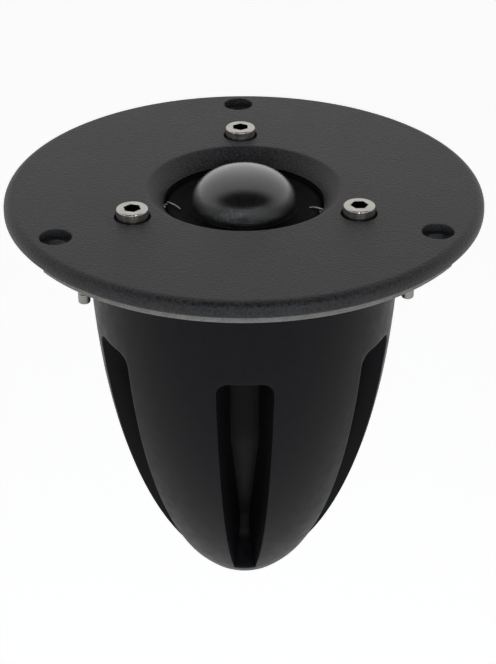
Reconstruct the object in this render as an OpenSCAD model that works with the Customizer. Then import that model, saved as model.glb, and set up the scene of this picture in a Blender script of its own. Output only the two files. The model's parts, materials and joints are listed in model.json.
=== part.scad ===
// Soft-dome tweeter with a round faceplate, a shallow waveguide, a moving-coil
// motor and a long streamlined rear chamber with six cooling slots.
// Origin: centre of the faceplate's rear face. +Z points out of the dome.

/* [Faceplate] */
// Outer diameter of the faceplate
plate_d = 130; // [128:1:134]
// Thickness of the faceplate
plate_t = 4; // [4:0.25:5]
// Radius of the rounded front edge
plate_edge_r = 2.6; // [1:0.1:3]
// Depth of the hub behind the faceplate, which presses on the motor
hub_depth = 3; // [3:0.1:3.5]

/* [Mounting] */
// Pitch circle of the three mounting holes
mount_pcd = 113.6; // [112:0.2:115]
// Diameter of each mounting hole
mount_hole_d = 5.5; // [4.5:0.1:5.5]
// Diameter of the counterbore over each mounting hole
mount_bore_d = 8.4; // [8:0.1:9]
// Depth of that counterbore
mount_bore_depth = 2.2; // [1.5:0.1:2.4]

/* [Waveguide] */
// Radius of the waveguide's rim in the front face
mouth_r = 26.3; // [25.5:0.1:27]
// Radius of the waveguide's throat
throat_r = 22; // [21.9:0.1:22.5]

/* [Diaphragm] */
// Radius of the dome at its rim
dome_r = 14.5; // [14.45:0.05:14.6]
// Height of the dome from its rim to its top
dome_h = 10.25; // [10:0.05:10.5]
// Thickness of the coated cloth of the dome
dome_t = 0.35; // [0.3:0.01:0.4]
// Inner radius of the voice coil former
coil_r = 14; // [14:0.01:14.02]

/* [Rear chamber] */
// Radius of the chamber's widest part
shell_r = 43.1; // [43:0.1:43.5]
// Distance from the faceplate's rear face to the tip of the nose
shell_depth = 123.3; // [121:0.1:125]
// Radius of the ball-shaped tip
nose_r = 19.4; // [18:0.1:20]
// Angle that each cooling slot takes, in degrees
slot_angle = 21.3; // [18:0.1:22]
// Distance from the faceplate's rear face to the slots' upper ends
slot_top = 33.5; // [33.5:0.1:35]
// Radius of the slots' upper corners
slot_corner_r = 3.6; // [2:0.1:4]
// Radius of the core between the slots
core_r = 21.5; // [21:0.1:22]
// Turn of the chamber against the faceplate, in degrees
chamber_turn = -1.4; // [-2:0.1:0]

/* [Hidden] */

$fn = 96;
plate_r = plate_d / 2;

// Directions of the repeated features around the axis
mount_angles = [90, 210, 330];
slot_angles = [for (a = [30:60:330]) a + chamber_turn];
rear_screw_angles = [for (a = [30:120:270]) a + chamber_turn];
sides = [-1, 1];
lead_turns = [0, -14.5];

// Levels, from the front to the rear
throat_z = -0.4;
carrier_top_z = -0.9;
dome_rim_z = -1.3;
motor_z = -hub_depth;
top_plate_t = 7;
magnet_t = 12;
back_plate_t = 7;
magnet_z = motor_z - top_plate_t;
back_plate_z = magnet_z - magnet_t;
yoke_end_z = back_plate_z - back_plate_t;
yoke_gasket_t = 0.6;
cavity_z = yoke_end_z - yoke_gasket_t;
seal_t = 1;
rim_z = -seal_t;
slot_z = -slot_top;
nose_z = -shell_depth;

// Motor
hub_r = 38.6;
bore_r = 39.3;
gap_r = 14.8;
pole_r = 13.4;
sleeve_t = 0.3;
vent_r = 8;
magnet_inner_r = 20;
magnet_r = 36;

// Moving system
former_t = 0.12;
former_end_z = -8.2;
coil_t = 0.28;
coil_top_z = -4.9;
coil_h = 3.2;
rim_flange_r = 15.1;
rim_flange_t = 0.5;

// Suspension and the ring that carries it
carrier_r = 29.8;
carrier_bore_r = 21.9;
carrier_recess_r = 30;
seat_r = 27.2;
seat_z = -2.3;
surround_t = 0.25;
roll_outer_r = 20.2;
roll_h = 0.75;

// Wiring
lead_r = 0.45;
tinsel_r = 0.2;
channel_w = 2.4;
pad_z = -1.9;
pad_t = 0.3;
lead_z = -1.15;
post_x = 43.3;
post_y = -20.7;
post_r = 1.65;
post_neck_r = 1.4;
post_end_z = -19.7;
bush_r = 3.2;
bush_neck_r = 2.6;
bush_depth = 1.8;
groove_z = 1.1;
groove_start_x = 26.2;
groove_turn_x = 30.6;

// Fasteners
front_screw_pitch_r = 34.4;
front_head_r = 4.25;
front_head_h = 5;
front_head_proud = 2.4;
front_shank_r = 2.5;
front_bore_r = 4.8;
front_tip_z = -9;
rear_screw_pitch_r = 31;
rear_head_r = 3.5;
rear_head_h = 4;
rear_shank_r = 2;
rear_tip_z = -24;

// Gasket
gasket_t = 2;
gasket_r = 63.65;
gasket_inner_r = 53;
gasket_notch_w = 12;

// Rear chamber outline
ogive_start_z = -2;
ogive_len = 123.1;
ogive_power = 2.32;
ogive_root = 0.58;
core_taper_z = -64;
core_taper = 0.382;
waist_z = -104.7;
waist_fillet_r = 6;
flare_slope = 1.1;
damping_r = 16;
damping_end_r = 8;
damping_cone_z = -62;
damping_end_z = -84;

// Points on a circular arc between two angles
function arc(c, r, a0, a1, n) =
    [for (i = [0:n]) let (a = a0 + (a1 - a0) * i / n) c + r * [cos(a), sin(a)]];

function unit(v) = v / norm(v);

// Points that round the corner b between the lines a-b and b-c, as a curve
function round_corner(a, b, c, reach, n) =
    let (p = b + reach * unit(a - b), q = b + reach * unit(c - b))
    [for (i = [0:n]) let (t = i / n)
        (1 - t) * (1 - t) * p + 2 * t * (1 - t) * b + t * t * q];

// Radius of the streamlined shell at a level, without its ball-shaped tip
function ogive_r(z) =
    shell_r * pow(1 - pow(max(ogive_start_z - z, 0) / ogive_len, ogive_power), ogive_root);

// Radius of the ball-shaped tip at a level
function nose_tip_r(z) =
    let (t = z - nose_z) t >= nose_r ? nose_r : sqrt(max(2 * nose_r * t - t * t, 0));

// Direction from the axis in which the leads of one side run out
function lead_dir(i) = sides[i] * [cos(lead_turns[i]), sin(lead_turns[i])];

// A hollow cylinder between two levels
module tube(r_out, r_in, z0, z1) {
    translate([0, 0, z0]) difference() {
        cylinder(r = r_out, h = z1 - z0);
        translate([0, 0, -1]) cylinder(r = r_in, h = z1 - z0 + 2);
    }
}

// Copies of the children at the given angles on a pitch radius
module around(angles, r) {
    for (a = angles) rotate([0, 0, a]) translate([r, 0, 0]) children();
}

// A straight round rod between two points, with a slightly larger ball at its far end
module rod(p, q, r) {
    d = q - p;
    translate(p)
        rotate([0, acos(d[2] / norm(d)), atan2(d[1], d[0])])
            cylinder(r = r, h = norm(d), $fn = 24);
    translate(q) rotate([20, 35, 10]) sphere(r = 1.06 * r, $fn = 24);
}

// Socket cap screw: the head's seat is at z = 0 and the shank runs down
module cap_screw(head_r, head_h, shank_r, shank_len, hex_af, hex_turn) {
    chamfer = head_r * 0.14;
    difference() {
        rotate_extrude() polygon([
            [0, -shank_len], [shank_r - 0.4, -shank_len], [shank_r, -shank_len + 0.4],
            [shank_r, 0], [head_r, 0], [head_r, head_h - chamfer],
            [head_r - chamfer, head_h], [0, head_h]
        ]);
        translate([0, 0, head_h * 0.45]) rotate([0, 0, hex_turn])
            cylinder(d = hex_af / cos(30), h = head_h, $fn = 6);
    }
}

// Groove in the faceplate's rear that leads a wire to its terminal: first outwards, then across
module lead_groove(i) {
    depth = groove_z - motor_z + 1;
    bend = groove_turn_x * lead_dir(i);
    run = [sides[i] * post_x, post_y] - bend;
    translate([0, 0, groove_z - depth]) {
        rotate([0, 0, atan2(bend[1], bend[0])]) translate([groove_start_x, -channel_w / 2, 0])
            cube([groove_turn_x - groove_start_x + channel_w / 2, channel_w, depth]);
        translate(bend) rotate([0, 0, atan2(run[1], run[0])])
            translate([0, -channel_w / 2, 0]) cube([norm(run), channel_w, depth]);
    }
}

module faceplate() {
    lower_edge = 0.6;
    rim_round = 0.8;
    outline = concat(
        [[throat_r, throat_z], [throat_r + 1.6, throat_z + 2.1], [mouth_r - rim_round, plate_t - 0.9]],
        round_corner([mouth_r - rim_round, plate_t - 0.9], [mouth_r, plate_t], [plate_r, plate_t], 0.6, 3),
        arc([plate_r - plate_edge_r, plate_t - plate_edge_r], plate_edge_r, 90, 0, 8),
        [[plate_r, lower_edge], [plate_r - lower_edge, 0], [hub_r, 0], [hub_r, motor_z],
         [carrier_recess_r, motor_z], [carrier_recess_r, throat_z]]
    );
    color([0.17, 0.17, 0.18]) difference() {
        rotate_extrude() polygon(outline);
        around(mount_angles, mount_pcd / 2) {
            translate([0, 0, -1]) cylinder(d = mount_hole_d, h = plate_t + 2);
            translate([0, 0, plate_t - mount_bore_depth]) cylinder(d = mount_bore_d, h = plate_t);
        }
        around(mount_angles, front_screw_pitch_r) {
            translate([0, 0, motor_z - 1]) cylinder(r = front_shank_r + 0.25, h = 10);
            translate([0, 0, plate_t + front_head_proud - front_head_h])
                cylinder(r = front_bore_r, h = front_head_h);
        }
        for (i = [0, 1]) {
            lead_groove(i);
            translate([sides[i] * post_x, post_y, -1]) cylinder(r = bush_neck_r, h = bush_depth + 1);
        }
    }
}

module front_screws() {
    seat_z = plate_t + front_head_proud - front_head_h;
    turns = [0, 12, 30];
    color([0.78, 0.78, 0.8]) for (i = [0:2])
        around([mount_angles[i]], front_screw_pitch_r) translate([0, 0, seat_z])
            cap_screw(front_head_r, front_head_h, front_shank_r, seat_z - front_tip_z, 4, turns[i]);
}

// Foam strips under the faceplate, open around each mounting hole
module gasket_segments() {
    color([0.34, 0.34, 0.36]) difference() {
        tube(gasket_r, gasket_inner_r, -gasket_t, 0);
        for (a = mount_angles) rotate([0, 0, a])
            translate([core_r, -gasket_notch_w / 2, -gasket_t - 1])
                cube([plate_r, gasket_notch_w, gasket_t + 2]);
    }
}

// Moulded ring that holds the surround and leads the wires out
module diaphragm_carrier() {
    color([0.1, 0.1, 0.11]) difference() {
        rotate_extrude() polygon([
            [carrier_bore_r, seat_z], [seat_r, seat_z], [seat_r, motor_z], [carrier_r, motor_z],
            [carrier_r, throat_z], [carrier_r - 1.8, throat_z], [carrier_r - 1.8, carrier_top_z],
            [carrier_bore_r, carrier_top_z]
        ]);
        for (i = [0, 1]) rotate([0, 0, lead_turns[i]])
            translate([sides[i] * 26 - 6, -channel_w / 2, pad_z])
                cube([12, channel_w, 2]);
    }
}

// One-piece half-roll suspension between the dome's rim and the carrier
module surround() {
    inner_z = dome_rim_z - rim_flange_t;
    roll_n = 14;
    upper = [for (i = [0:roll_n]) let (t = i / roll_n)
        [rim_flange_r + 0.15 + (roll_outer_r - rim_flange_r - 0.15) * t,
         inner_z + (seat_z - inner_z) * t + roll_h * sin(180 * t)]];
    lower = [for (i = [roll_n:-1:0]) upper[i] - [0, surround_t]];
    color([0.06, 0.06, 0.07]) rotate_extrude() polygon(concat(
        [[coil_r + 0.35, inner_z]], upper, [[seat_r - 0.2, seat_z], [seat_r - 0.2, seat_z - surround_t]],
        lower, [[coil_r + 0.35, inner_z - surround_t]]
    ));
}

// Outline of the dome, inset by a distance: a quarter of an ellipse from its top to its rim
function dome_outline(inset) = [
    for (a = [90:-3:0]) [(dome_r - inset) * cos(a), dome_rim_z + (dome_h - inset) * sin(a)]
];

module dome() {
    inner = dome_outline(dome_t);
    color([0.2, 0.2, 0.22]) union() {
        rotate_extrude() polygon(concat(
            dome_outline(0), [for (i = [len(inner) - 1:-1:0]) inner[i]]
        ));
        tube(rim_flange_r, coil_r + former_t, dome_rim_z - rim_flange_t, dome_rim_z + 0.02);
    }
}

module coil_former() {
    color([0.75, 0.72, 0.66]) tube(coil_r + former_t, coil_r, former_end_z, dome_rim_z - 0.1);
}

module voice_coil() {
    color([0.72, 0.4, 0.2])
        tube(coil_r + former_t + coil_t, coil_r + former_t, coil_top_z - coil_h, coil_top_z);
}

// Braided wires that arch over the surround from the coil to the pads
module lead_outs() {
    start_x = rim_flange_r - 0.2;
    end_x = carrier_bore_r - 0.55;
    half = (end_x - start_x) / 2;
    rise = 0.45;
    bend_r = (half * half + rise * rise) / (2 * rise);
    sweep = 2 * asin(half / bend_r);
    color([0.75, 0.75, 0.76]) for (i = [0, 1]) rotate([0, 0, lead_turns[i]])
        translate([sides[i] * (start_x + half), 0, dome_rim_z + 0.25 + rise - bend_r])
            rotate([90, 0, 0]) rotate([0, 0, 90 - sweep / 2])
                rotate_extrude(angle = sweep) translate([bend_r, 0]) circle(r = tinsel_r, $fn = 24);
}

// Small metal tabs with a blob of solder, one on each side of the carrier
module lead_pads() {
    color([0.6, 0.6, 0.58]) for (i = [0, 1]) rotate([0, 0, lead_turns[i]])
        translate([sides[i] * (carrier_bore_r + 0.4), 0, 0]) union() {
        translate([-1.3, -channel_w / 2 + 0.1, pad_z + 0.02]) cube([2.6, channel_w - 0.2, pad_t]);
        translate([0, 0, pad_z + 0.1]) cylinder(r = 0.75, h = 0.85, $fn = 24);
    }
}

// Insulated wires from the pads through the faceplate's grooves
module internal_leads() {
    run_z = groove_z - 0.6;
    color([0.45, 0.1, 0.1]) for (i = [0, 1]) {
        pad = concat((carrier_bore_r + 1.2) * lead_dir(i), [lead_z]);
        rise = concat((groove_start_x + 0.6) * lead_dir(i), [lead_z]);
        top = concat((groove_start_x + 2.4) * lead_dir(i), [run_z]);
        turn = concat(groove_turn_x * lead_dir(i), [run_z]);
        post = [sides[i] * post_x, post_y, run_z];
        rod(pad, rise, lead_r);
        rod(rise, top, lead_r);
        rod(top, turn, lead_r);
        rod(turn, post + (post_neck_r + lead_r + 0.05) * unit(turn - post), lead_r);
    }
}

// Round terminal pins with a rounded free end
module terminal_posts() {
    tip_r = 0.6;
    color([0.55, 0.54, 0.52]) for (side = sides) translate([side * post_x, post_y, 0])
        rotate_extrude($fn = 48) polygon(concat(
            [[0, post_end_z]],
            arc([post_r - tip_r, post_end_z + tip_r], tip_r, -90, 0, 5),
            [[post_r, -bush_depth], [post_neck_r, -bush_depth],
             [post_neck_r, bush_depth - 0.1], [0, bush_depth - 0.1]]
        ));
}

// Insulating flanged bushes that carry the terminal pins
module terminal_bushes() {
    color([0.08, 0.08, 0.09]) for (i = [0, 1]) difference() {
        translate([sides[i] * post_x, post_y, 0]) union() {
            tube(bush_r, post_neck_r, -bush_depth, 0);
            tube(bush_neck_r, post_neck_r, -1, bush_depth - 0.1);
        }
        difference() {
            lead_groove(i);
            translate([0, 0, -50]) cube([200, 200, 100], center = true);
        }
    }
}

module top_plate() {
    color([0.5, 0.5, 0.53]) difference() {
        tube(hub_r, gap_r, magnet_z, motor_z);
        around(mount_angles, front_screw_pitch_r)
            translate([0, 0, front_tip_z - 0.4]) cylinder(r = front_shank_r, h = 20);
    }
}

module magnet() {
    color([0.28, 0.28, 0.3]) tube(magnet_r, magnet_inner_r, back_plate_z, magnet_z);
}

module back_plate() {
    color([0.5, 0.5, 0.53]) difference() {
        tube(hub_r, pole_r, yoke_end_z, back_plate_z);
        around(rear_screw_angles, rear_screw_pitch_r)
            translate([0, 0, yoke_end_z - 1]) cylinder(r = rear_shank_r, h = back_plate_t - 0.8);
    }
}

module pole_piece() {
    color([0.56, 0.56, 0.58]) tube(pole_r, vent_r, yoke_end_z, motor_z - 0.2);
}

module shorting_sleeve() {
    color([0.75, 0.42, 0.25]) tube(pole_r + sleeve_t, pole_r, magnet_z - 1, motor_z - 0.2);
}

module pole_felt() {
    color([0.3, 0.3, 0.3]) tube(pole_r - 0.6, vent_r + 0.2, motor_z - 0.2, motor_z + 0.8);
}

module vent_damper() {
    color([0.7, 0.68, 0.62]) translate([0, 0, back_plate_z + 2]) cylinder(r = vent_r - 0.1, h = 12);
}

module yoke_gasket() {
    color([0.12, 0.12, 0.12]) tube(damping_r + 5, damping_r + 0.5, cavity_z, yoke_end_z);
}

module chamber_seal() {
    color([0.07, 0.07, 0.07]) tube(shell_r - 0.5, bore_r + 0.3, rim_z, 0);
}

// Core between the slots: straight, then tapering to a waist and flaring into the nose
function core_outline() =
    let (
        taper_start = [core_r, core_taper_z],
        waist = [core_r - core_taper * (core_taper_z - waist_z), waist_z],
        flare_end = waist + [shell_r - waist[0], -(shell_r - waist[0]) / flare_slope]
    )
    concat([[0, slot_z + 1], [core_r, slot_z + 1], taper_start],
        round_corner(taper_start, waist, flare_end, waist_fillet_r, 7),
        [flare_end, [0, flare_end[1]]]);

// The space that one slot leaves open, pointing along +X
module slot_space() {
    reach = shell_r + 5;
    half_w = reach * tan(slot_angle / 2);
    mouth_half_w = shell_r * sin(slot_angle / 2);
    difference() {
        intersection() {
            translate([0, 0, nose_z]) linear_extrude(height = slot_z - nose_z)
                polygon([[0, 0], [reach, -half_w], [reach, half_w]]);
            rotate([90, 0, 90]) linear_extrude(height = reach) polygon(concat(
                [[-mouth_half_w - 1, nose_z], [mouth_half_w + 1, nose_z],
                 [mouth_half_w + 1, slot_z - slot_corner_r - 1], [mouth_half_w, slot_z - slot_corner_r]],
                arc([mouth_half_w - slot_corner_r, slot_z - slot_corner_r], slot_corner_r, 0, 90, 6),
                arc([-mouth_half_w + slot_corner_r, slot_z - slot_corner_r], slot_corner_r, 90, 180, 6),
                [[-mouth_half_w - 1, slot_z - slot_corner_r - 1]]
            ));
        }
        rotate_extrude() polygon(core_outline());
    }
}

// Streamlined shell: a cup around the motor, and a slotted core behind it
module rear_chamber() {
    body_n = 20;
    tip_n = 7;
    tip_top_z = nose_z + 6.2;
    outer = concat(
        [[0, rim_z], [shell_r - 0.4, rim_z], [shell_r, rim_z - 0.4]],
        [for (i = [0:body_n]) let (z = -4 + (tip_top_z + 4) * i / body_n) [ogive_r(z), z]],
        [for (i = [1:tip_n - 1])
            let (r = nose_tip_r(tip_top_z) * (1 - i / tip_n))
            [r, nose_z + nose_r - sqrt(nose_r * nose_r - r * r)]],
        [[0, nose_z]]
    );
    color([0.15, 0.15, 0.17]) difference() {
        rotate_extrude() polygon(outer);
        rotate_extrude() polygon([
            [0, 1], [bore_r, 1], [bore_r, cavity_z], [damping_r, cavity_z],
            [damping_r, damping_cone_z], [damping_end_r, damping_end_z], [0, damping_end_z]
        ]);
        for (a = slot_angles) rotate([0, 0, a]) slot_space();
        around(rear_screw_angles, rear_screw_pitch_r)
            translate([0, 0, slot_z - 1]) cylinder(r = rear_shank_r + 0.2, h = 10);
    }
}

// Wool filling behind the pole's vent
module damping_wad() {
    color([0.85, 0.84, 0.78]) rotate_extrude() polygon([
        [0, cavity_z - 0.6], [damping_r - 0.6, cavity_z - 0.6], [damping_r - 0.6, damping_cone_z],
        [damping_end_r, damping_end_z + 5], [0, damping_end_z + 5]
    ]);
}

module rear_screws() {
    color([0.2, 0.2, 0.21]) around(rear_screw_angles, rear_screw_pitch_r)
        translate([0, 0, slot_z]) mirror([0, 0, 1])
            cap_screw(rear_head_r, rear_head_h, rear_shank_r, rear_tip_z - slot_z, 3, 0);
}

faceplate();
front_screws();
gasket_segments();
diaphragm_carrier();
surround();
dome();
coil_former();
voice_coil();
lead_outs();
lead_pads();
internal_leads();
terminal_posts();
terminal_bushes();
top_plate();
magnet();
back_plate();
pole_piece();
shorting_sleeve();
pole_felt();
vent_damper();
yoke_gasket();
chamber_seal();
rear_chamber();
damping_wad();
rear_screws();
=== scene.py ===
"""Soft-dome tweeter: turned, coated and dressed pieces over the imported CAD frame.

Pieces are modelled in millimetres and scaled to metres as they are finished.
"""

import json
import logging
import math
from dataclasses import dataclass, field
from enum import Enum

import bmesh
import bpy
from mathutils import Matrix, Vector


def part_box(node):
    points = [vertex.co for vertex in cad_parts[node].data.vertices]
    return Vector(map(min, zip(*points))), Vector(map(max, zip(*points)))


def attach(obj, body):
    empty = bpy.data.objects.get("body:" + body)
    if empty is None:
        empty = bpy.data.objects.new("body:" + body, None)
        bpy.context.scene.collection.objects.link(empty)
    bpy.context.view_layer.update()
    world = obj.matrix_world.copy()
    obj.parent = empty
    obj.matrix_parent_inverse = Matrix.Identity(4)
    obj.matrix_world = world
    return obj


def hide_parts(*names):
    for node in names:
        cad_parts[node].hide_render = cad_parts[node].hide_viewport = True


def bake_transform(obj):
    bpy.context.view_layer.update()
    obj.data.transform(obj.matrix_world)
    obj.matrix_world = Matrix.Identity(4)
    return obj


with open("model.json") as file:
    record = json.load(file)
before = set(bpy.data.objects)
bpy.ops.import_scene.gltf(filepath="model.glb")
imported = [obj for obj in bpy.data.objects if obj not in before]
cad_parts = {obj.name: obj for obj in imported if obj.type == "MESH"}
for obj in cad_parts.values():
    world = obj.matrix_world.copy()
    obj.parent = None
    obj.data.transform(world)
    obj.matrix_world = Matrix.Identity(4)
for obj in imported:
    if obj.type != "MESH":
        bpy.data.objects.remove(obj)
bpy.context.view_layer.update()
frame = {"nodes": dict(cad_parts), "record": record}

LOG = logging.getLogger("tweeter")
MM = 0.001
MERGE_DISTANCE = 0.0005
ROUND_STEPS = 240
SCREW_STEPS = 72
SOCKET_LEAD = 0.1

Colour = tuple[float, float, float]
Triple = tuple[float, float, float]
Socket = bpy.types.NodeSocket
Profile = list[tuple[float, float]]


class Body(Enum):
    """Bodies of the frame that a piece can move with."""

    FRAME = "tweeter_body"
    DIAPHRAGM = "diaphragm"


class Pattern(Enum):
    """Fine surface patterns that a finish can carry."""

    POWDER = "powder"
    BLASTED = "blasted"
    MOULDED = "moulded"
    FOAM = "foam"
    FELT = "felt"
    TURNED = "turned"
    WOUND = "wound"
    SINTERED = "sintered"


# ---------------------------------------------------------------- shader nodes


class Web:
    """Node tree of one material or world, filled by short calls."""

    def __init__(self, tree: bpy.types.NodeTree) -> None:
        """Keep the tree and empty it."""
        self.tree = tree
        tree.nodes.clear()

    def node(self, kind: str, inputs: dict | None = None, **settings: object) -> bpy.types.Node:
        """Add a node, set its properties and feed its inputs.

        Args:
            kind: Blender's name of the node type.
            inputs: Values or output sockets, by input name or index.
            **settings: Properties of the node.

        Returns:
            The new node.
        """
        made = self.tree.nodes.new(kind)
        for name, value in settings.items():
            setattr(made, name, value)
        for name, value in (inputs or {}).items():
            self.feed(made, name, value)
        return made

    def feed(self, node: bpy.types.Node, name: str | int, value: object) -> None:
        """Link an output socket to an input, or set the input's value.

        Args:
            node: Node that receives the value.
            name: Name or index of its input.
            value: Output socket, number or tuple.
        """
        if isinstance(value, bpy.types.NodeSocket):
            self.tree.links.new(value, node.inputs[name])
        else:
            node.inputs[name].default_value = value

    def math(self, operation: str, *values: object) -> Socket:
        """Return the result of a Math node on one to three values."""
        made = self.node("ShaderNodeMath", dict(enumerate(values)), operation=operation)
        return made.outputs[0]

    def blend(self, share: object, first: Colour, second: Colour) -> Socket:
        """Mix two colours.

        Args:
            share: Socket or number from 0, first, to 1, second.
            first: Linear colour at 0.
            second: Linear colour at 1.

        Returns:
            The mixed colour.
        """
        made = self.node("ShaderNodeMix", {0: share}, data_type="RGBA")
        self.feed(made, 6, (*first, 1.0))
        self.feed(made, 7, (*second, 1.0))
        return made.outputs[2]

    def fit(
        self, value: object, low: float, high: float, to_low: float = 0.0, to_high: float = 1.0
    ) -> Socket:
        """Map a value from one range to another, clamped.

        Args:
            value: Socket to map.
            low: Value that becomes to_low.
            high: Value that becomes to_high.
            to_low: Result at low.
            to_high: Result at high.

        Returns:
            The mapped value.
        """
        made = self.node("ShaderNodeMapRange", {0: value, 1: low, 2: high, 3: to_low, 4: to_high})
        return made.outputs[0]

    def place(self) -> Socket:
        """Return the object coordinates, in metres."""
        return self.node("ShaderNodeTexCoord").outputs["Object"]

    def noise(self, grain: float, detail: float = 2.0, stretch: Triple = (1.0, 1.0, 1.0)) -> Socket:
        """Return a noise value.

        Args:
            grain: Size of a grain in millimetres.
            detail: Octaves of finer grain.
            stretch: Scale of the pattern along each axis.

        Returns:
            Noise between 0 and 1.
        """
        spot = self.node("ShaderNodeMapping", {0: self.place(), 3: stretch}).outputs[0]
        made = self.node("ShaderNodeTexNoise", {"Vector": spot, "Scale": 1 / (grain * MM), "Detail": detail})
        return made.outputs[0]

    def cells(self, grain: float, feature: str = "F1") -> Socket:
        """Return the distance of a cell pattern with cells of the given size in millimetres."""
        made = self.node(
            "ShaderNodeTexVoronoi", {"Vector": self.place(), "Scale": 1 / (grain * MM)}, feature=feature
        )
        return made.outputs["Distance"]

    def bump(self, height: object, depth: float, under: object = None) -> Socket:
        """Return a normal bent by a height.

        Args:
            height: Socket with the height from 0 to 1.
            depth: Depth of the relief in millimetres.
            under: Normal of a coarser relief below this one.

        Returns:
            The bent normal.
        """
        made = self.node("ShaderNodeBump", {"Height": height, "Distance": depth * MM})
        if under is not None:
            self.feed(made, "Normal", under)
        return made.outputs[0]


# --------------------------------------------------------------------- finishes


@dataclass(frozen=True)
class Finish:
    """One finish, with its colours, gloss and fine relief.

    Attributes:
        name: Name of the material.
        slot: Material slot of the record that it belongs to; not used.
        colour: Main linear colour.
        tint: Second colour that the pattern mixes in.
        roughness: Roughness of the smooth parts.
        spread: How much the pattern changes the roughness.
        metal: 1 for bare metal.
        gloss: Specular level.
        coat: Weight of a clear coat.
        coat_roughness: Roughness of that coat.
        fuzz: Weight of the sheen on cloth and felt.
        pattern: Fine pattern of the surface.
        grain: Size of the pattern in millimetres.
        relief: Depth of the pattern in millimetres.
    """

    name: str
    slot: str
    colour: Colour
    tint: Colour
    roughness: float = 0.5
    spread: float = 0.08
    metal: float = 0.0
    gloss: float = 0.5
    coat: float = 0.0
    coat_roughness: float = 0.1
    fuzz: float = 0.0
    pattern: Pattern = Pattern.MOULDED
    grain: float = 0.3
    relief: float = 0.01

    def material(self) -> bpy.types.Material:
        """Return the material, which is made the first time it is asked for."""
        title = f"{self.name}_finish"
        known = bpy.data.materials.get(title)
        if known is not None:
            return known
        made = bpy.data.materials.new(title)
        made.use_nodes = True
        made.diffuse_color = (*self.colour, 1.0)
        web = Web(made.node_tree)
        share, height = self.texture(web)
        shader = self.shader(web, share)
        bent = web.bump(height, self.relief)
        web.feed(shader, "Normal", bent)
        if self.coat > 0.0:
            web.feed(shader, "Coat Normal", bent)
        web.node("ShaderNodeOutputMaterial", {0: shader.outputs[0]})
        return made

    def shader(self, web: Web, share: Socket) -> bpy.types.Node:
        """Add the shader with its uniform values.

        Args:
            web: Tree to add to.
            share: Pattern value that mixes the colours and roughness.

        Returns:
            The shader node.
        """
        uniform = {
            "Metallic": self.metal,
            "Specular IOR Level": self.gloss,
            "Coat Weight": self.coat,
            "Coat Roughness": self.coat_roughness,
            "Sheen Weight": self.fuzz,
            "Sheen Roughness": 0.4,
        }
        made = web.node("ShaderNodeBsdfPrincipled", uniform)
        web.feed(made, "Base Color", web.blend(share, self.colour, self.tint))
        low, high = self.roughness - self.spread, self.roughness + self.spread
        web.feed(made, "Roughness", web.fit(share, 0.0, 1.0, low, high))
        return made

    def texture(self, web: Web) -> tuple[Socket, Socket]:
        """Add the fine pattern.

        Args:
            web: Tree to add to.

        Returns:
            The colour share and the relief's height.
        """
        if self.pattern is Pattern.TURNED:
            return self.turned(web)
        if self.pattern is Pattern.WOUND:
            return self.wound(web)
        if self.pattern is Pattern.FELT:
            fibres = web.noise(self.grain, 4.0, (1.0, 0.25, 1.0))
            crossing = web.noise(self.grain, 4.0, (0.25, 1.0, 1.0))
            height = web.math("MULTIPLY", fibres, crossing)
            return web.fit(height, 0.1, 0.4), height
        if self.pattern in (Pattern.FOAM, Pattern.SINTERED):
            pores = web.cells(self.grain)
            cloud = web.noise(self.grain * 9, 3.0)
            return web.fit(web.math("MULTIPLY", pores, cloud), 0.05, 0.4), web.fit(pores, 0.1, 0.6)
        fine = web.noise(self.grain, 3.0)
        cloud = web.noise(self.grain * 14, 3.0)
        height = web.math("ADD", fine, web.math("MULTIPLY", cloud, 0.15))
        if self.pattern is Pattern.POWDER:
            beads = web.cells(self.grain * 0.8, "SMOOTH_F1")
            height = web.math("SUBTRACT", fine, beads)
        weight = 0.2 if self.pattern is Pattern.POWDER else 0.5
        share = web.math("MULTIPLY_ADD", cloud, weight, web.math("MULTIPLY", fine, 1.0 - weight))
        return web.fit(share, 0.36, 0.64), height

    def turned(self, web: Web) -> tuple[Socket, Socket]:
        """Return the share and height of faint lathe rings around the Z axis."""
        split = web.node("ShaderNodeSeparateXYZ", {0: web.place()}).outputs
        squares = [web.math("POWER", split[i], 2.0) for i in (0, 1)]
        radius = web.math("SQRT", web.math("ADD", *squares))
        path = web.math("ADD", radius, split[2])
        rings = web.node(
            "ShaderNodeTexNoise", {"W": path, "Scale": 1 / (self.grain * MM), "Detail": 2.0},
            noise_dimensions="1D",
        )
        cloud = web.noise(self.grain * 12, 3.0)
        share = web.math("MULTIPLY_ADD", cloud, 0.6, web.math("MULTIPLY", rings.outputs[0], 0.4))
        return web.fit(share, 0.35, 0.65), rings.outputs[0]

    def wound(self, web: Web) -> tuple[Socket, Socket]:
        """Return the share and height of close wire turns along the Z axis."""
        level = web.node("ShaderNodeSeparateXYZ", {0: web.place()}).outputs[2]
        phase = web.math("MULTIPLY", level, math.pi / (self.grain * MM))
        turns = web.math("ABSOLUTE", web.math("SINE", phase))
        cloud = web.noise(self.grain * 8, 2.0)
        return web.fit(web.math("MULTIPLY", turns, cloud), 0.0, 0.6), turns


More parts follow.
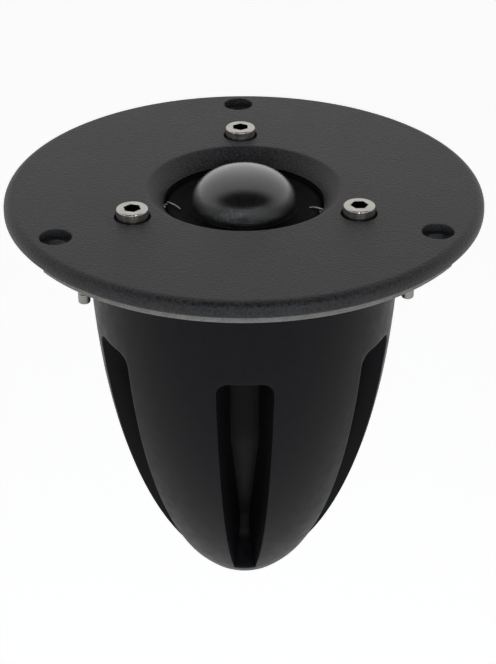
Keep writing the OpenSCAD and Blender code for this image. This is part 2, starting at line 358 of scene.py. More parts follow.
@dataclass(frozen=True)
class Weave(Finish):
    """Plain-woven cloth under a coating, laid flat and pressed into shape.

    Attributes:
        thread: Distance between threads in millimetres.
        bare_z: Levels between which the coating thickens upwards, and the share of the relief above.
        drape: Levels of the rim and the top, and how much longer the cloth is than its plan there.
    """

    thread: float = 0.38
    bare_z: Triple = (2.0, 7.0, 1.0)
    drape: Triple = (-2.1, 8.95, 1.39)

    def texture(self, web: Web) -> tuple[Socket, Socket]:
        """Return the share and height of threads that pass over and under each other."""
        split = web.node("ShaderNodeSeparateXYZ", {0: web.place()}).outputs
        low, high, longer = self.drape
        count = 1 / (self.thread * MM)
        drape = web.fit(split[2], low * MM, high * MM, longer * count, count)
        turns = [web.math("MULTIPLY", split[i], math.pi) for i in (0, 1)]
        waves = [web.math("SINE", web.math("MULTIPLY", turned, drape)) for turned in turns]
        warp_up = web.math("GREATER_THAN", web.math("MULTIPLY", *waves), 0.0)
        tops = [web.math("ABSOLUTE", wave) for wave in waves]
        along = web.math("MULTIPLY", web.math("POWER", tops[0], 0.4), web.math("POWER", tops[1], 1.3))
        across = web.math("MULTIPLY", web.math("POWER", tops[0], 1.3), web.math("POWER", tops[1], 0.4))
        mixed = web.node("ShaderNodeMix", {0: warp_up, 2: along, 3: across}).outputs[0]
        bared = web.fit(split[2], self.bare_z[0] * MM, self.bare_z[1] * MM, 1.0, self.bare_z[2])
        cloud = web.noise(self.thread * 6, 3.0)
        share = web.math("MULTIPLY_ADD", cloud, 0.6, web.math("MULTIPLY", mixed, 0.4))
        return web.fit(share, 0.2, 0.8), web.math("MULTIPLY", mixed, bared)


PLATE_COAT = Finish(
    "black_powder_coat", "black_textured_coat", (0.003, 0.003, 0.0036), (0.026, 0.026, 0.0285),
    roughness=0.5, gloss=0.34, pattern=Pattern.POWDER, grain=0.62, relief=0.12,
)
CHAMBER_COAT = Finish(
    "black_satin_anodise", "black_satin_coat", (0.0042, 0.0042, 0.0052), (0.0068, 0.0068, 0.008),
    roughness=0.42, gloss=0.09, pattern=Pattern.BLASTED, grain=0.22, relief=0.012,
)
BRIGHT_STAINLESS = Finish(
    "turned_stainless", "stainless_steel", (0.5, 0.48, 0.45), (0.4, 0.38, 0.355),
    roughness=0.24, metal=1.0, pattern=Pattern.TURNED, grain=0.25, relief=0.004,
)
BLACK_OXIDE = Finish(
    "black_oxide", "black_oxide_steel", (0.03, 0.03, 0.032), (0.05, 0.048, 0.046),
    roughness=0.38, metal=0.7, pattern=Pattern.TURNED, grain=0.3, relief=0.004,
)
GASKET_FOAM = Finish(
    "grey_foam", "grey_foam", (0.12, 0.12, 0.115), (0.2, 0.2, 0.19),
    roughness=0.85, gloss=0.2, pattern=Pattern.FOAM, grain=0.35, relief=0.06,
)
CARRIER_PLASTIC = Finish(
    "moulded_plastic", "moulded_plastic", (0.006, 0.006, 0.0066), (0.01, 0.01, 0.011),
    roughness=0.4, gloss=0.25, pattern=Pattern.MOULDED, grain=0.12, relief=0.004,
)
# Black doped cloth, with its colour darkened further as painted shade of the deep gap between the dome and the carrier.
ROLL_CLOTH_AND_SHADE = Weave(
    "doped_cloth_and_shade", "doped_cloth_roll", (0.0008, 0.0008, 0.001), (0.002, 0.002, 0.0022),
    roughness=0.6, gloss=0.04, relief=0.02, thread=0.3,
)
DOME_CLOTH = Weave(
    "coated_dome_cloth", "coated_dome_cloth", (0.004, 0.004, 0.004), (0.014, 0.014, 0.0136),
    roughness=0.28, gloss=0.4, coat=1.0, coat_roughness=0.13, relief=0.08,
    thread=0.42, bare_z=(0.0, 5.0, 0.1),
)
TINSEL = Finish(
    "tinsel_braid", "tinsel_wire", (0.6, 0.59, 0.58), (0.34, 0.33, 0.32),
    roughness=0.3, metal=1.0, pattern=Pattern.WOUND, grain=0.12, relief=0.02,
)
SOLDER = Finish(
    "solder_and_tin", "tinned_tab", (0.34, 0.32, 0.29), (0.22, 0.21, 0.19),
    roughness=0.3, metal=1.0, pattern=Pattern.MOULDED, grain=0.4, relief=0.02,
)
LEAD_INSULATION = Finish(
    "lead_insulation", "red_insulation", (0.3, 0.02, 0.018), (0.22, 0.014, 0.013),
    roughness=0.42, pattern=Pattern.MOULDED, grain=0.5, relief=0.01,
)
DULL_NICKEL = Finish(
    "dull_nickel", "nickel_plating", (0.32, 0.31, 0.29), (0.22, 0.21, 0.2),
    roughness=0.42, metal=1.0, pattern=Pattern.TURNED, grain=0.3, relief=0.006,
)
ZINC = Finish(
    "zinc_plate", "zinc_steel", (0.5, 0.5, 0.53), (0.36, 0.37, 0.4),
    roughness=0.34, metal=1.0, pattern=Pattern.TURNED, grain=0.4, relief=0.008,
)
SINTERED_MAGNET = Finish(
    "sintered_magnet", "magnet_ceramic", (0.07, 0.07, 0.075), (0.12, 0.12, 0.125),
    roughness=0.55, metal=0.6, pattern=Pattern.SINTERED, grain=0.25, relief=0.02,
)
SOFT_IRON = Finish(
    "soft_iron", "pure_iron", (0.44, 0.43, 0.42), (0.34, 0.33, 0.32),
    roughness=0.36, metal=1.0, pattern=Pattern.TURNED, grain=0.35, relief=0.008,
)
COPPER = Finish(
    "drawn_copper", "bare_copper", (0.78, 0.33, 0.19), (0.6, 0.22, 0.12),
    roughness=0.28, metal=1.0, pattern=Pattern.TURNED, grain=0.3, relief=0.004,
)
COIL_WIRE = Finish(
    "enamelled_winding", "copper_winding", (0.55, 0.18, 0.07), (0.72, 0.3, 0.14),
    roughness=0.3, metal=1.0, pattern=Pattern.WOUND, grain=0.13, relief=0.05,
)
FORMER_FOIL = Finish(
    "former_foil", "former_foil", (0.72, 0.71, 0.69), (0.6, 0.59, 0.57),
    roughness=0.35, metal=1.0, pattern=Pattern.MOULDED, grain=0.8, relief=0.01,
)
GREY_FELT = Finish(
    "grey_felt", "grey_felt", (0.08, 0.08, 0.08), (0.2, 0.2, 0.2),
    roughness=0.95, gloss=0.1, spread=0.03, fuzz=0.5, pattern=Pattern.FELT, grain=0.2, relief=0.15,
)
WHITE_WOOL = Finish(
    "white_wool", "white_wool", (0.62, 0.6, 0.53), (0.82, 0.8, 0.74),
    roughness=0.95, gloss=0.1, spread=0.03, fuzz=0.6, pattern=Pattern.FELT, grain=0.4, relief=0.5,
)
SEAL_RUBBER = Finish(
    "seal_rubber", "black_rubber", (0.008, 0.008, 0.008), (0.016, 0.016, 0.016),
    roughness=0.7, gloss=0.3, pattern=Pattern.MOULDED, grain=0.2, relief=0.01,
)


# --------------------------------------------------------------- mesh operators


def span(node: str) -> tuple[Vector, Vector]:
    """Return the lowest and highest corner of a CAD node in millimetres."""
    low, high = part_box(node)
    return low / MM, high / MM


def rounded(centre: tuple[float, float], radius: float, start: float, end: float, steps: int) -> Profile:
    """List points on an arc of a profile.

    Args:
        centre: Radius and level of the arc's centre.
        radius: Radius of the arc.
        start: First angle in degrees.
        end: Last angle in degrees.
        steps: Number of steps between them.

    Returns:
        Points from the first angle to the last.
    """
    angles = [math.radians(start + (end - start) * i / steps) for i in range(steps + 1)]
    return [(centre[0] + radius * math.cos(a), centre[1] + radius * math.sin(a)) for a in angles]


def turn(bm: bmesh.types.BMesh, profile: Profile, steps: int = ROUND_STEPS, centre: tuple[float, float] = (0.0, 0.0),
         closed: bool = False) -> None:
    """Spin a profile of radii and levels around an upright axis.

    Args:
        bm: Mesh that receives the surface.
        profile: Radius and level of each point.
        steps: Number of steps around the axis.
        centre: Place of the axis.
        closed: Whether the profile's ends are joined.
    """
    verts = [bm.verts.new((centre[0] + radius, centre[1], level)) for radius, level in profile]
    pairs = list(zip(verts, verts[1:])) + ([(verts[-1], verts[0])] if closed else [])
    edges = [bm.edges.new(pair) for pair in pairs]
    bmesh.ops.spin(
        bm, geom=verts + edges, cent=(*centre, 0.0), axis=(0.0, 0.0, 1.0), angle=math.tau, steps=steps,
        use_merge=True, use_duplicate=False,
    )


def merge(bm: bmesh.types.BMesh) -> None:
    """Join doubled points and drop faces that have no area."""
    bmesh.ops.remove_doubles(bm, verts=bm.verts[:], dist=MERGE_DISTANCE)
    bmesh.ops.dissolve_degenerate(bm, dist=MERGE_DISTANCE, edges=bm.edges[:])


def seal(bm: bmesh.types.BMesh, level: float) -> None:
    """Fill the flat region between all open loops at one level."""
    edges = [
        edge for edge in bm.edges
        if edge.is_boundary and all(abs(vert.co.z - level) < MERGE_DISTANCE for vert in edge.verts)
    ]
    bmesh.ops.triangle_fill(bm, use_beauty=True, edges=edges)


def around(pitch: float, angles: list[float]) -> list[tuple[float, float]]:
    """Return the places on a pitch circle at the given angles in degrees."""
    return [(pitch * math.cos(math.radians(a)), pitch * math.sin(math.radians(a))) for a in angles]


def cut(target: bpy.types.Object, cutter: bpy.types.Object) -> None:
    """Subtract one mesh from another and drop the cutter.

    Args:
        target: Object that is cut.
        cutter: Closed object that is subtracted.
    """
    tool = target.modifiers.new("cut", "BOOLEAN")
    tool.operation, tool.solver, tool.object, tool.use_self = "DIFFERENCE", "EXACT", cutter, True
    result = bpy.data.meshes.new_from_object(target.evaluated_get(bpy.context.evaluated_depsgraph_get()))
    target.modifiers.clear()
    target.data = result
    bpy.data.objects.remove(cutter)


def to_object(bm: bmesh.types.BMesh, name: str) -> bpy.types.Object:
    """Turn a mesh in millimetres into a linked object in metres.

    Args:
        bm: Mesh in millimetres, which is freed.
        name: Name of the object.

    Returns:
        The object at the origin.
    """
    bmesh.ops.scale(bm, vec=(MM, MM, MM), verts=bm.verts[:])
    mesh = bpy.data.meshes.new(name)
    bm.to_mesh(mesh)
    bm.free()
    made = bpy.data.objects.new(name, mesh)
    bpy.context.scene.collection.objects.link(made)
    bpy.context.view_layer.update()
    return made


def dress(piece: bpy.types.Object, finish: Finish, body: Body | None, nodes: tuple[str, ...],
          sharp: float = 32.0) -> bpy.types.Object:
    """Shade a piece, give it its finish and tie it to the frame.

    Args:
        piece: Object to dress.
        finish: Finish that it gets.
        body: Body that it rides on, or None if it is tied to no body.
        nodes: CAD nodes that it stands for.
        sharp: Angle in degrees above which an edge stays crisp.

    Returns:
        The same object.
    """
    piece.data.materials.clear()
    piece.data.materials.append(finish.material())
    piece.data.shade_smooth()
    piece.data.set_sharp_from_angle(angle=math.radians(sharp))
    if body is not None:
        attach(piece, body.value)
    if nodes:
        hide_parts(*nodes)
    LOG.info("%s: %d faces, %s", piece.name, len(piece.data.polygons), finish.name)
    return piece


def socket_screw(bm: bmesh.types.BMesh, shape: Profile, hex_width: float, hex_depth: float, place: tuple[float, float],
                 twist: float, flip: bool = False) -> None:
    """Add a screw whose head has a hexagonal socket.

    Args:
        bm: Mesh that receives the screw.
        shape: Profile from the shank's tip to the rim of the flat top.
        hex_width: Width of the socket across its flats.
        hex_depth: Depth of the socket.
        place: Place of the screw's axis.
        twist: Turn of the socket in degrees.
        flip: Whether the head points down.
    """
    single = bmesh.new()
    turn(single, shape, SCREW_STEPS)
    merge(single)
    top = shape[-1][1]
    corner = hex_width / math.sqrt(3)
    rim = bmesh.ops.create_circle(
        single, segments=6, radius=corner + SOCKET_LEAD, matrix=Matrix.Translation((0.0, 0.0, top)), cap_ends=False
    )["verts"]
    edges = [edge for edge in single.edges if all(vert in rim for vert in edge.verts)]
    steps = [(corner / (corner + SOCKET_LEAD), -SOCKET_LEAD), (1.0, SOCKET_LEAD - hex_depth), (0.02, -0.3 * corner)]
    seal(single, top)
    for scale, drop in steps:
        walls = bmesh.ops.extrude_edge_only(single, edges=edges)["geom"]
        verts = [item for item in walls if isinstance(item, bmesh.types.BMVert)]
        lines = [item for item in walls if isinstance(item, bmesh.types.BMEdge)]
        edges = [edge for edge in lines if all(vert in verts for vert in edge.verts)]
        bmesh.ops.scale(single, vec=(scale, scale, 1.0), verts=verts)
        bmesh.ops.translate(single, vec=(0.0, 0.0, drop), verts=verts)
    bmesh.ops.holes_fill(single, edges=[edge for edge in single.edges if edge.is_boundary])
    bmesh.ops.rotate(single, verts=single.verts[:], matrix=Matrix.Rotation(math.radians(twist), 3, "Z"))
    if flip:
        bmesh.ops.rotate(
            single, verts=single.verts[:], cent=(0.0, 0.0, 0.0), matrix=Matrix.Rotation(math.pi, 3, "X")
        )
    bmesh.ops.translate(single, vec=(*place, 0.0), verts=single.verts[:])
    bmesh.ops.recalc_face_normals(single, faces=single.faces[:])
    joined = bpy.data.meshes.new("screw")
    single.to_mesh(joined)
    single.free()
    bm.from_mesh(joined)
    bpy.data.meshes.remove(joined)


# ---------------------------------------------------------------- sub-assemblies


@dataclass
class FrontPlate:
    """Round faceplate with its holes, screws and gasket. Sizes are in millimetres."""

    mount_angles: list[float] = field(default_factory=lambda: [90.0, 210.0, 330.0])
    edge_round: float = 2.6
    lower_edge: float = 0.6
    mouth_r: float = 26.3
    throat_r: float = 22.0
    throat_z: float = -0.4
    recess_r: float = 30.0
    hub_r: float = 38.6
    hub_z: float = -3.0
    support: float = 0.3
    hole_round: float = 0.3
    bore_r: float = 4.2
    bore_depth: float = 2.2
    screw_pitch: float = 34.4
    screw_bore_r: float = 4.8
    screw_hole_r: float = 2.75
    head_r: float = 4.25
    head_h: float = 5.0
    socket: float = 4.0
    socket_depth: float = 1.3
    socket_turns: list[float] = field(default_factory=lambda: [0.0, 12.0, 30.0])
    groove_w: float = 2.4
    groove_z: float = 1.1
    groove_reach: tuple[float, float] = (26.2, 30.6)
    lead_angles: tuple[float, float] = (180.0, -14.5)
    notch: float = 6.0

    def build(self) -> None:
        """Build and dress the plate, its screws and its gasket."""
        low, high = span("faceplate")
        self.plate_r, self.top = high.x, high.z
        bolts = next(m for m in frame["record"]["mounts"] if m["kind"] == "bolt_pattern")
        self.mount_pitch = bolts["dims"]["pcd_mm"] / 2
        self.hole_r = bolts["dims"]["hole_r_mm"]
        self.plate()
        self.screws()
        self.gasket()

    def plate(self) -> None:
        """Build the turned plate with its counterbored holes and rear grooves."""
        bm = bmesh.new()
        top, edge = self.top, self.edge_round
        mouth = [
            (self.mouth_r + 1.1, top), (self.mouth_r + 0.6, top), (self.mouth_r + 0.25, top - 0.04),
            (self.mouth_r - 0.1, top - 0.2), (self.mouth_r - 0.5, top - 0.5), (self.mouth_r - 1.4, top - 1.2),
            (self.mouth_r - 2.4, top - 2.03), (self.mouth_r - 3.3, top - 2.95), (self.mouth_r - 3.9, top - 3.75),
            (self.throat_r + 0.05, self.throat_z + 0.12), (self.throat_r + 0.2, self.throat_z),
            (self.recess_r, self.throat_z), (self.recess_r, self.hub_z + 0.2), (self.recess_r + 0.2, self.hub_z),
            (self.recess_r + 0.5, self.hub_z),
        ]
        rim = [(self.plate_r - edge - self.support, top)]
        rim += rounded((self.plate_r - edge, top - edge), edge, 90.0, 0.0, 14)
        rim += rounded((self.plate_r - self.lower_edge, self.lower_edge), self.lower_edge, 0.0, -90.0, 4)
        rim += [(self.plate_r - self.lower_edge - self.support, 0.0)]
        hub = [
            (self.hub_r + self.support, 0.0), (self.hub_r, 0.0), (self.hub_r, self.hub_z + 0.3),
            (self.hub_r - 0.3, self.hub_z), (self.hub_r - 0.6, self.hub_z),
        ]
        for profile in (mouth, rim, hub):
            turn(bm, profile)
        counterbore = self.hole(self.bore_r, self.top - self.bore_depth, self.hole_r)
        for place in around(self.mount_pitch, self.mount_angles):
            turn(bm, [*counterbore, (self.hole_r, 0.2), (self.hole_r + 0.2, 0.0)], SCREW_STEPS, place)
        seat = span("front_screws")[1].z - self.head_h
        head_bore = self.hole(self.screw_bore_r, seat, self.screw_hole_r)
        for place in around(self.screw_pitch, self.mount_angles):
            turn(bm, [*head_bore, (self.screw_hole_r, self.hub_z)], SCREW_STEPS, place)
        neck = 2.6
        for low, high in self.posts():
            turn(bm, [(neck, 0.0), (neck, 1.8), (0.0, 1.8)], SCREW_STEPS, ((low.x + high.x) / 2, (low.y + high.y) / 2))
        merge(bm)
        for level in (self.top, 0.0, self.hub_z):
            seal(bm, level)
        merge(bm)
        bmesh.ops.recalc_face_normals(bm, faces=bm.faces[:])
        piece = to_object(bm, "faceplate_coated")
        cut(piece, self.grooves())
        dress(piece, PLATE_COAT, Body.FRAME, ("faceplate",), 24.0)

    def hole(self, bore: float, floor: float, hole: float) -> Profile:
        """List the profile of a counterbore from the plate's top down into its hole.

        Args:
            bore: Radius of the counterbore.
            floor: Level of its floor.
            hole: Radius of the hole through it.

        Returns:
            Radii and levels from the top.
        """
        soft = self.hole_round
        start = [(bore + soft + 0.25, self.top)]
        curve = rounded((bore + soft, self.top - soft), soft, 90.0, 0.0, 4)
        lip = [(2 * bore + 2 * soft - r, z) for r, z in curve]
        return start + lip + [(bore, floor), (hole, floor)]

    def posts(self) -> list[tuple[Vector, Vector]]:
        """Return the boxes of the two terminal pins, left and right."""
        low, high = span("terminal_posts")
        width = high.y - low.y
        return [
            (Vector((low.x, low.y, low.z)), Vector((low.x + width, high.y, high.z))),
            (Vector((high.x - width, low.y, low.z)), Vector((high.x, high.y, high.z))),
        ]

    def grooves(self) -> bpy.types.Object:
        """Return the cutter for the two grooves that lead the wires to the pins."""
        bm = bmesh.new()
        depth = self.groove_z - self.hub_z + 1.0
        start, bend = self.groove_reach
        for angle, (low, high) in zip(self.lead_angles, self.posts()):
            pin = Vector(((low.x + high.x) / 2, (low.y + high.y) / 2, 0.0))
            outwards = Matrix.Rotation(math.radians(angle), 3, "Z") @ Vector((1.0, 0.0, 0.0))
            legs = [
                (outwards * start, outwards * (bend + self.groove_w / 2)),
                (outwards * bend, pin),
            ]
            for first, last in legs:
                run = last - first
                shape = Matrix.Diagonal((run.length, self.groove_w, depth, 1.0))
                heading = Matrix.Rotation(math.atan2(run.y, run.x), 4, "Z")
                centre = Matrix.Translation((first + last) / 2 + Vector((0.0, 0.0, self.groove_z - depth / 2)))
                bmesh.ops.create_cube(bm, size=1.0, matrix=centre @ heading @ shape)
        bmesh.ops.recalc_face_normals(bm, faces=bm.faces[:])
        return to_object(bm, "groove_cutter")

    def screws(self) -> None:
        """Build the three bright socket screws."""
        low, high = span("front_screws")
        seat, soft = high.z - self.head_h, 0.45
        shank = 2.5
        shape = [(0.0, low.z), (shank - 0.4, low.z), (shank, low.z + 0.4), (shank, seat), (self.head_r - 0.2, seat)]
        shape += [(self.head_r, seat + 0.2)]
        shape += rounded((self.head_r - soft, high.z - soft), soft, 0.0, 90.0, 5)
        shape += [(self.head_r - soft - 0.25, high.z)]
        bm = bmesh.new()
        for place, twist in zip(around(self.screw_pitch, self.mount_angles), self.socket_turns):
            socket_screw(bm, shape, self.socket, self.socket_depth, place, twist)
        dress(to_object(bm, "front_screws_bright"), BRIGHT_STAINLESS, Body.FRAME, ("front_screws",))

    def gasket(self) -> None:
        """Build the three foam strips, cut square beside the mounting holes."""
        low, high = span("gasket_segments")
        outer, inner = high.y if high.y > high.x else high.x, 53.0
        bulge, soft = 0.12, 0.35
        shape = [(inner, low.z + soft), (inner, high.z), (outer, high.z), (outer + bulge, (low.z + high.z) / 2)]
        shape += [(outer, low.z + soft), (outer - soft, low.z), (inner + soft, low.z)]
        bm = bmesh.new()
        for angle in self.mount_angles:
            self.strip(bm, shape, angle)
        bmesh.ops.recalc_face_normals(bm, faces=bm.faces[:])
        dress(to_object(bm, "foam_gasket"), GASKET_FOAM, Body.FRAME, ("gasket_segments",))

    def strip(self, bm: bmesh.types.BMesh, shape: Profile, angle: float) -> None:
        """Add one strip that runs from one mounting hole to the next.

        Args:
            bm: Mesh that receives the strip.
            shape: Closed profile of the strip.
            angle: Angle of the first mounting hole in degrees.
        """
        single = bmesh.new()
        verts = [single.verts.new((r, 0.0, z)) for r, z in shape]
        face = single.faces.new(verts)
        spun = bmesh.ops.spin(
            single, geom=[face], cent=(0.0, 0.0, 0.0), axis=(0.0, 0.0, 1.0), angle=math.radians(120.0), steps=90,
            use_merge=False, use_duplicate=False,
        )
        last = {item for item in spun["geom_last"] if isinstance(item, bmesh.types.BMVert)}
        turned_back = Matrix.Rotation(math.radians(-120.0), 3, "Z")
        for vert in verts:
            vert.co = Vector((math.hypot(vert.co.x, vert.co.y), 0.0, vert.co.z))
            vert.co = Vector((math.sqrt(vert.co.x**2 - self.notch**2), self.notch, vert.co.z))
        for vert in last:
            local = turned_back @ vert.co
            vert.co = turned_back.inverted() @ Vector((math.sqrt(local.x**2 - self.notch**2), -self.notch, local.z))
        self.spread(single, verts, last)
        bmesh.ops.rotate(single, verts=single.verts[:], matrix=Matrix.Rotation(math.radians(angle), 3, "Z"))
        bmesh.ops.recalc_face_normals(single, faces=single.faces[:])
        carried = bpy.data.meshes.new("strip")
        single.to_mesh(carried)
        single.free()
        bm.from_mesh(carried)
        bpy.data.meshes.remove(carried)

    def spread(self, single: bmesh.types.BMesh, first: list[bmesh.types.BMVert], last: set[bmesh.types.BMVert]) -> None:
        """Move the rings between a strip's two ends clear of the notches.

        Args:
            single: Mesh of the strip.
            first: Points of its first end.
            last: Points of its last end.
        """
        margin = math.degrees(math.asin(self.notch / 53.0)) + 0.4
        for vert in single.verts:
            if vert in last or vert in first:
                continue
            angle = math.degrees(math.atan2(vert.co.y, vert.co.x))
            moved = math.radians(margin + angle * (120.0 - 2 * margin) / 120.0)
            radius = math.hypot(vert.co.x, vert.co.y)
            vert.co = Vector((radius * math.cos(moved), radius * math.sin(moved), vert.co.z))


@dataclass
class Diaphragm:
    """Coated dome, its roll and its lead-out wires. Sizes are in millimetres."""

    wall_r: float = 14.6
    fullness: float = 0.92
    cloth: float = 0.35
    rim_z: float = -1.6
    flange_r: float = 14.64
    flange_t: float = 0.1
    former_r: float = 14.12
    foot_r: float = 21.7
    foot_z: float = -2.3
    crest: tuple[float, float] = (20.0, -1.1)
    valley: tuple[float, float] = (16.9, -1.85)
    seat_r: float = 27.0
    roll_cloth: float = 0.22
    wire_r: float = 0.2
    wire_rise: float = 0.35
    lay_pitch: float = 1.3
    tab: Triple = (2.0, 2.2, 0.25)
    tab_r: float = 21.9
    drop_r: float = 21.25
    wire_ends: dict[str, tuple[Triple, Triple]] = field(default_factory=lambda: {
        "lead_out_left": ((-20.9, 0.4, -0.72), (-17.4, -2.7, -1.35)),
        "lead_out_right": ((21.2, -5.6, -0.72), (17.8, -2.9, -1.35)),
    })

    def build(self) -> None:
        """Build and dress the dome, the roll, the wires and the solder pads."""
        self.dome()
        self.roll()
        self.wires()
        self.pads()

    def outline(self, inset: float) -> Profile:
        """List the dome's outline from its top to its rim.

        Args:
            inset: Distance that the outline lies inside the outer surface.

        Returns:
            Radii and levels from the axis outwards.
        """
        height, reach = span("dome")[1].z - self.rim_z - inset, self.wall_r - inset
        angles = [math.radians(90.0 * (1 - i / 44)) for i in range(44)]
        curve = [
            (reach * math.cos(a) ** self.fullness, self.rim_z + height * math.sin(a) ** self.fullness)
            for a in angles
        ]
        return [(0.0, curve[0][1]), *curve[1:], (reach, self.rim_z + 0.12)]

    def dome(self) -> None:
        """Build the cloth dome with its glued rim."""
        top, bottom = self.rim_z + 0.02, self.rim_z - self.flange_t
        flange = [(self.wall_r + 0.04, top + 0.03), (self.flange_r - 0.08, top), (self.flange_r, top - 0.08)]
        flange += [(self.flange_r, bottom), (self.former_r, bottom), (self.former_r, self.rim_z - 0.1)]
        bm = bmesh.new()
        turn(bm, [*self.outline(0.0), *flange, *reversed(self.outline(self.cloth))])
        merge(bm)
        bmesh.ops.recalc_face_normals(bm, faces=bm.faces[:])
        dress(to_object(bm, "dome_cloth"), DOME_CLOTH, Body.DIAPHRAGM, ("dome",), 40.0)

    def ease(self, first: tuple[float, float], last: tuple[float, float], steps: int) -> Profile:
        """Return points of a soft S curve between two points of a profile."""
        shares = [i / steps for i in range(steps + 1)]
        return [(first[0] + (last[0] - first[0]) * t,
                 first[1] + (last[1] - first[1]) * (1 - math.cos(math.pi * t)) / 2) for t in shares]

    def fall(self, inset: float) -> Profile:
        """Return the roll's outer side from its crest to its foot, inset by the cloth's thickness."""
        reach, drop = self.foot_r - inset - self.crest[0], self.crest[1] - inset - self.foot_z
        angles = [math.radians(90.0 * i / 10) for i in range(11)]
        return [(self.crest[0] + reach * math.sin(a), self.foot_z + drop * math.cos(a)) for a in angles]

    def roll(self) -> None:
        """Build the roll in two rings: the inner one moves with the dome, the outer one is tied to no body."""
        thick, under = self.roll_cloth, self.rim_z - self.flange_t
        neck = [(self.former_r + 0.25, under), *self.ease((self.flange_r + 0.15, under), self.valley, 8)]
        neck += self.ease(self.valley, self.crest, 14)[1:]
        inner = bmesh.new()
        turn(inner, neck + [(r, z - thick) for r, z in reversed(neck)], closed=True)
        outer = bmesh.new()
        skin = self.fall(0.0) + [(self.foot_r + 0.2, self.foot_z), (self.seat_r, self.foot_z)]
        below = self.foot_z - thick
        lining = [(self.seat_r, below), (self.foot_r - thick, below), *reversed(self.fall(thick))]
        turn(outer, skin + lining, closed=True)
        for bm in (inner, outer):
            merge(bm)
            bmesh.ops.recalc_face_normals(bm, faces=bm.faces[:])
        dress(to_object(inner, "surround_inner"), ROLL_CLOTH_AND_SHADE, Body.DIAPHRAGM, ("surround",), 50.0)
        piece = dress(to_object(outer, "surround_outer"), ROLL_CLOTH_AND_SHADE, None, ("surround",), 50.0)
        self.bend(piece, Vector((0.0, 0.0, self.foot_z)), Vector((0.0, 0.0, self.crest[1] - thick)))

    def bend(self, piece: bpy.types.Object, start: Vector, end: Vector) -> None:
        """Bake a piece's transform into its mesh."""
        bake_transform(piece)

    def wires(self) -> None:
        """Build the two braided lead-out wires."""
        for name, ends in self.wire_ends.items():
            outer, inner = (Vector(point) for point in ends)
            run = inner - outer
            half = run.length / 2
            bend_r = (half**2 + self.wire_rise**2) / (2 * self.wire_rise)
            sweep = 2 * math.asin(half / bend_r)
            bm = bmesh.new()
            ring = bmesh.ops.create_circle(bm, segments=16, radius=self.wire_r, cap_ends=True)["verts"]
            bmesh.ops.scale(bm, vec=(0.78, 0.78, 1.0), verts=ring[::4])
            upright = Matrix.Rotation(math.radians(90.0), 4, "Y")
            start = Matrix.Rotation(-sweep / 2, 4, "Y") @ Matrix.Translation((0.0, 0.0, bend_r)) @ upright
            bmesh.ops.transform(bm, matrix=start, verts=bm.verts[:])
            bmesh.ops.spin(
                bm, geom=bm.faces[:], cent=(0.0, 0.0, 0.0), axis=(0.0, 1.0, 0.0), angle=sweep, steps=48,
                use_merge=False, use_duplicate=False,
            )
            self.twist(bm, bend_r)
            bmesh.ops.translate(bm, vec=(0.0, 0.0, self.wire_rise - bend_r), verts=bm.verts[:])
            heading = Matrix((run.normalized(), Vector((-run.y, run.x, 0.0)).normalized(), (0.0, 0.0, 1.0)))
            heading[2] = heading[0].cross(heading[1])
            place = Matrix.Translation((outer + inner) / 2) @ heading.transposed().to_4x4()
            bmesh.ops.transform(bm, matrix=place, verts=bm.verts[:])
            bmesh.ops.recalc_face_normals(bm, faces=bm.faces[:])
            piece = dress(to_object(bm, name), TINSEL, None, ("lead_outs",), 60.0)
            self.bend(piece, outer, inner)

    def twist(self, bm: bmesh.types.BMesh, bend_r: float) -> None:
        """Twist the lobes of a wire along its length, as the lay of its strands.

        Args:
            bm: Mesh of one wire, bent around the origin.
            bend_r: Radius of the wire's centre line.
        """
        for vert in bm.verts:
            along = math.atan2(vert.co.x, vert.co.z)
            spot = Vector((bend_r * math.sin(along), 0.0, bend_r * math.cos(along)))
            forward = Vector((math.cos(along), 0.0, -math.sin(along)))
            lay = Matrix.Rotation(along * bend_r / self.lay_pitch * math.tau, 3, forward)
            vert.co = spot + lay @ (vert.co - spot)

    def pads(self) -> None:
        """Build the two tinned tabs with their drops of solder."""
        bm = bmesh.new()
        level, thick = span("lead_pads")[0].z, self.tab[2]
        for ends in self.wire_ends.values():
            outer = Vector((ends[0][0], ends[0][1], 0.0))
            aim = Matrix.Rotation(math.atan2(outer.y, outer.x), 4, "Z")
            centre = Matrix.Translation((self.tab_r, 0.0, level + thick / 2))
            tab = aim @ centre @ Matrix.Diagonal((*self.tab, 1.0))
            made = bmesh.ops.create_cube(bm, size=1.0, matrix=tab)["verts"]
            edges = list({edge for vert in made for edge in vert.link_edges})
            bmesh.ops.bevel(
                bm, geom=edges, offset=0.08, offset_type="OFFSET", affect="EDGES", segments=2,
                profile=0.5, material=-1,
            )
            top = level + thick
            drop = [(0.0, top + 0.42), (0.2, top + 0.38), (0.38, top + 0.24), (0.5, top + 0.08)]
            drop += [(0.62, top - 0.02), (0.0, top - 0.1)]
            turn(bm, drop, 32, tuple((aim @ Vector((self.drop_r, 0.0, 0.0))).xy))
        merge(bm)
        bmesh.ops.recalc_face_normals(bm, faces=bm.faces[:])
        dress(to_object(bm, "solder_pads"), SOLDER, Body.FRAME, ("lead_pads",), 40.0)


